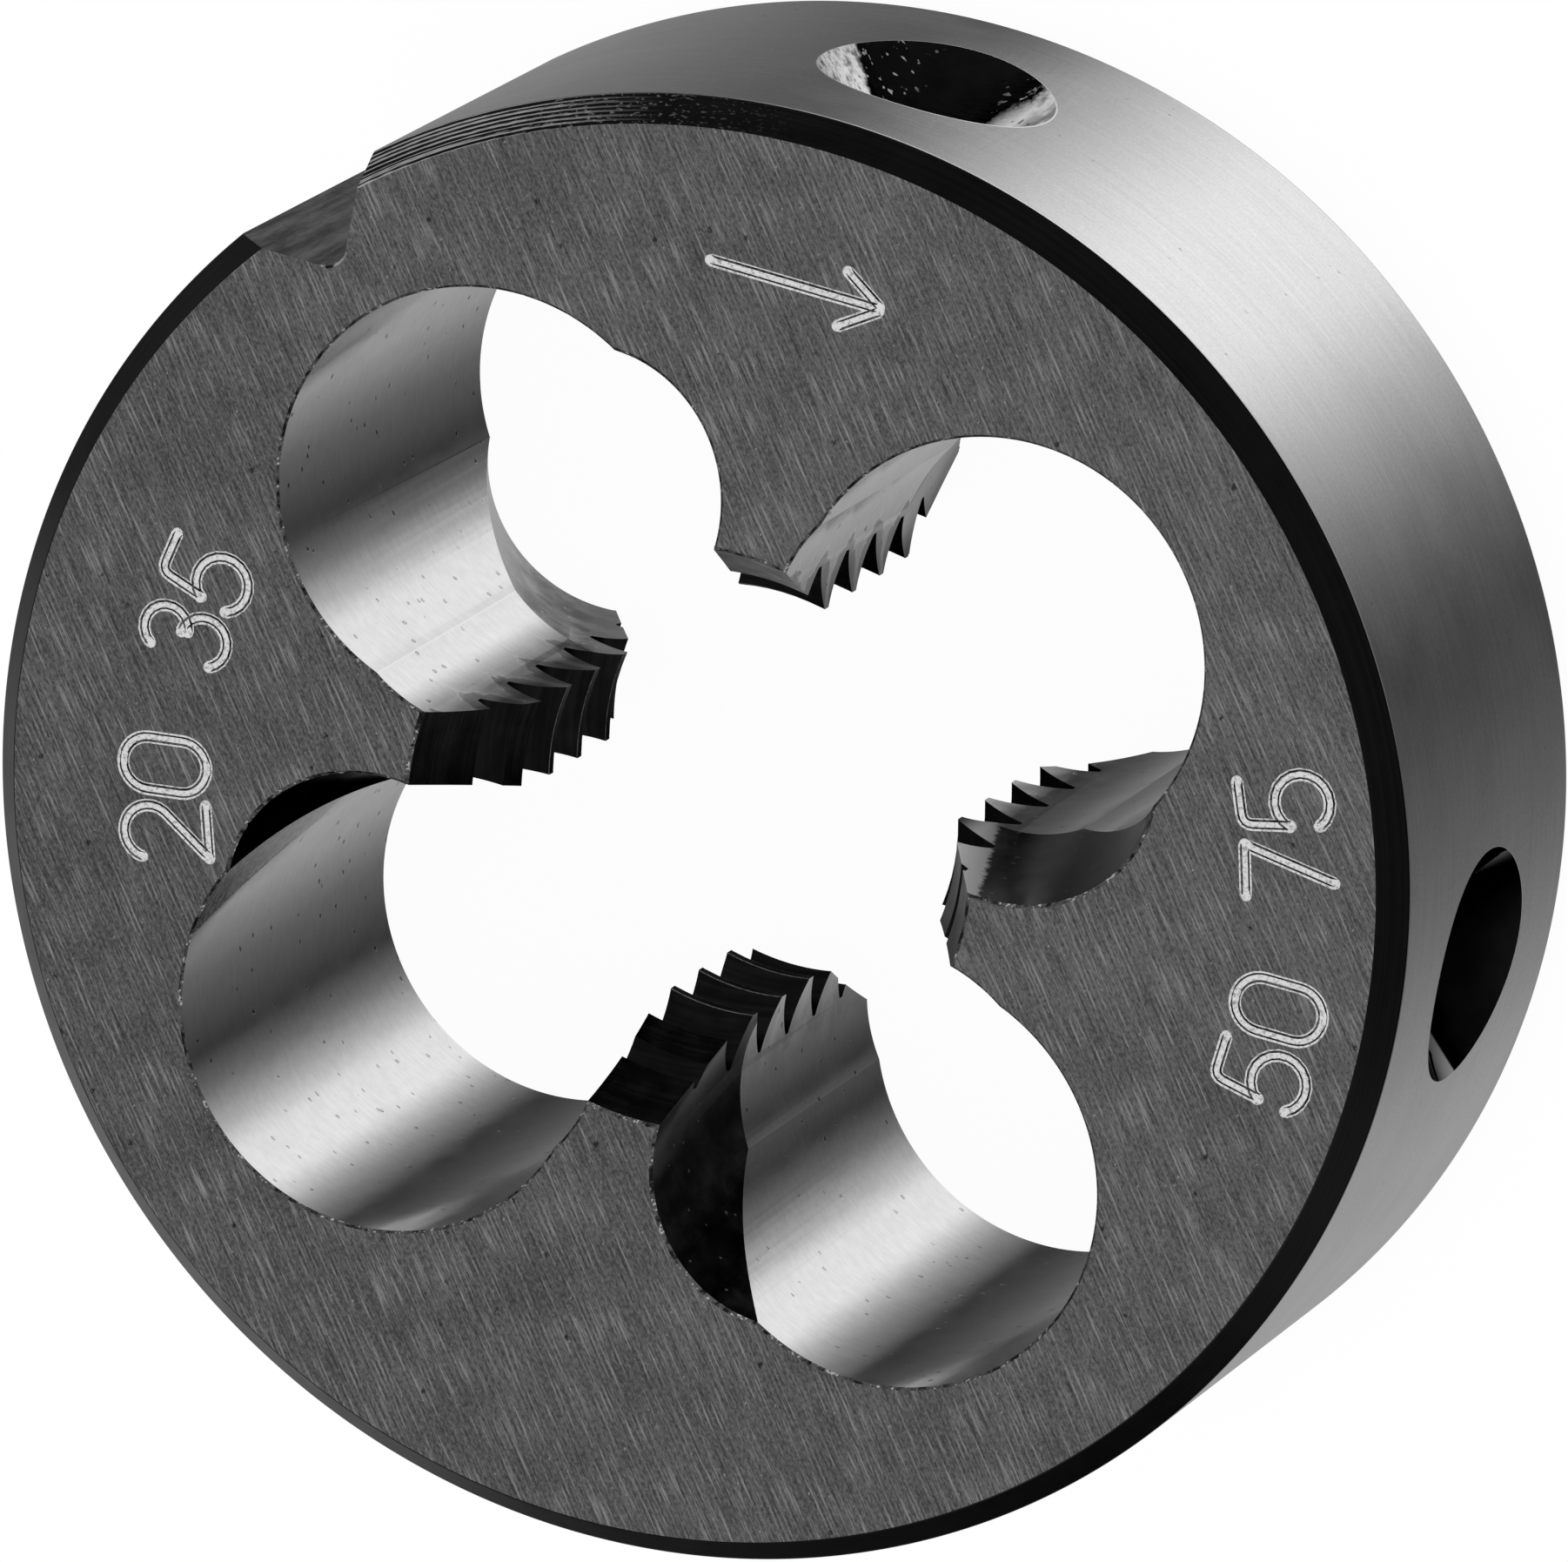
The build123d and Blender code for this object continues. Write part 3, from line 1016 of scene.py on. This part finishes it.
def furrow_bar(points, section):
    """A bar of the furrow's section that follows the points."""
    line_through("furrow", [(x, y, 0) for x, y in points])
    bpy.ops.object.convert(target="CURVE")
    curve = bpy.context.object.data
    curve.dimensions = "2D"
    curve.fill_mode = "NONE"
    curve.bevel_mode = "OBJECT"
    curve.bevel_object = section
    curve.use_fill_caps = True
    bpy.ops.object.convert(target="MESH")
    bar = bpy.context.object
    edit(bar)
    weld()
    face_outwards()
    leave_edit()
    return bar


def join(pieces):
    deselect_all()
    for piece in pieces:
        piece.select_set(True)
    bpy.context.view_layer.objects.active = pieces[0]
    bpy.ops.object.join()
    return bpy.context.object


def carve_marks(die, bright, dark):
    """Cuts the marks' furrows into the marked face. Each has a broad and a thin ridge along it."""
    line_through("section", [(x * MM, y * MM, 0) for x, y in furrow_section + furrow_section[:1]])
    edit(bpy.context.object)
    weld()
    leave_edit()
    bpy.ops.object.convert(target="CURVE")
    section = bpy.context.object
    for strokes in strokes_on_face():
        furrows = join([furrow_bar(points, section) for points in strokes])
        furrows.location = (0, 0, thickness)
        settle(furrows)
        furrows.data.materials.clear()
        dress(furrows, bright, dark)
        dark_below = thickness - furrow_dark_depth
        for polygon in furrows.data.polygons:
            polygon.material_index = 1 if polygon.center.z < dark_below else 0
        cut(die, furrows)
        cut(die, stroke_ends(strokes, bright))
    bpy.data.objects.remove(section)


def stroke_ends(strokes, steel):
    """Round dots where the strokes begin and end, none of them over another."""
    dots = []
    for points in strokes:
        for end in (points[0], points[-1]):
            if any((dot.location.xy - end).length < dot_spacing for dot in dots):
                continue
            deselect_all()
            bpy.ops.mesh.primitive_uv_sphere_add(
                segments=dot_segments, ring_count=dot_rings, radius=dot_radius,
                location=(end.x, end.y, 0),
            )
            dots.append(bpy.context.object)
    dots = join(dots)
    settle(dots)
    dots.scale = (1, 1, dot_flatness)
    dots.location = (0, 0, thickness)
    settle(dots)
    dress(dots, steel)
    return dots


def threading_die():
    """The whole die, one piece. Its holes go round from the one on the +X side."""
    die = blank()
    wall = hole_steel()
    # Two copies of the entries' steel that brighten less at low angles: painted shade on the +X and
    # -X holes' entries.
    shaded_entry = entry_steel("shaded_entry_steel", 0.65)
    entry = entry_steel("entry_steel", 1.0)
    deep_shaded_entry = entry_steel("deep_shaded_entry_steel", 0.15)
    for hole, steel in enumerate((shaded_entry, entry, deep_shaded_entry, entry)):
        cutter = chip_hole_cutter(wall, steel)
        cutter.rotation_euler = (0, 0, hole * math.pi / 2)
        settle(cutter)
        cut(die, cutter)
    cut(die, rim_groove(groove_steel()))
    smooth, smear_and_reflection = dimple_steel(), smear_and_reflection_steel()
    for middle in (math.pi / 2, -math.pi / 2):
        for side in (-1, 1):
            beside_groove = middle > 0 and side < 0
            steel = smear_and_reflection if beside_groove else smooth
            cut(die, dimple(middle + side * dimple_angle, steel))
    cut(die, tap(tooth_steel("tooth_steel", 0.006, 0.014), tip_highlight_steel()))
    lead = tooth_steel("lead_steel", 0.02, 0.06)
    for front in (True, False):
        cut(die, lead_cone(front, lead))
    carve_marks(die, mark_steel(), furrow_steel())
    break_mouths(die, burr_steel())
    return die


def studio_light():
    """The studio's light: even and pale above, darker with soft patches beside and below.

    The camera sees white behind it all.
    """
    world = bpy.data.worlds.new("studio")
    bpy.context.scene.world = world
    g = Graph(world)
    x, y, height = g.parts(g.add("ShaderNodeTexCoord", output="Generated"))
    around = bearing(x, y) / 360 + 0.5
    below = g.level_at(around, below_stops) * below_strength
    beside = g.level_at(around, beside_stops)
    lower = below + (beside - below) * g.ramp(height, -0.78, -0.5)
    level = lower + (above_level - lower) * g.ramp(height, -0.15, 0.25)
    camera_sees = g.add("ShaderNodeLightPath", output="Is Camera Ray")
    light = g.add("ShaderNodeBackground", {}, {"Strength": level + (1 - level) * camera_sees})
    g.show(light, "ShaderNodeOutputWorld")


def studio_floor():
    """A plain white floor. The camera sees it white, with the die's shadow faint on it."""
    deselect_all()
    bpy.ops.mesh.primitive_plane_add(size=floor_width)
    floor = bpy.context.object
    floor.name = "floor"
    floor.visible_glossy = False
    g = finish("white_floor")
    paper = g.add("ShaderNodeBsdfDiffuse", {}, {"Color": grey(floor_tone)})
    glow = g.add("ShaderNodeEmission", {}, {"Strength": floor_glow})
    camera_sees = g.add("ShaderNodeLightPath", output="Is Camera Ray")
    g.show(g.add("ShaderNodeMixShader", {}, {0: camera_sees * glow_share, 1: paper, 2: glow}))
    dress(floor, g.owner)


def studio_camera():
    """The camera stands where the photograph's did, far off with a long lens."""
    camera = bpy.data.cameras.new("camera")
    camera.lens = camera_lens
    camera.sensor_width = camera_sensor
    camera.clip_start = camera_near
    camera.clip_end = camera_far
    level = math.cos(camera_elevation)
    away = Vector((
        level * math.cos(camera_azimuth), level * math.sin(camera_azimuth),
        math.sin(camera_elevation),
    ))
    upright = (-away).to_track_quat("-Z", "Y")
    stand = bpy.data.objects.new("camera", camera)
    bpy.context.scene.collection.objects.link(stand)
    stand.location = Vector(camera_aim) + camera_distance * away
    stand.rotation_mode = "QUATERNION"
    stand.rotation_quaternion = upright @ Quaternion((0, 0, 1), camera_roll)
    bpy.context.scene.camera = stand


die = threading_die()
make_active(die)
bpy.ops.object.shade_smooth_by_angle(angle=smooth_angle)
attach(die, "root")
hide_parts("threading_die")

studio_light()
studio_floor()
studio_camera()
bpy.context.scene.view_settings.view_transform = "Standard"
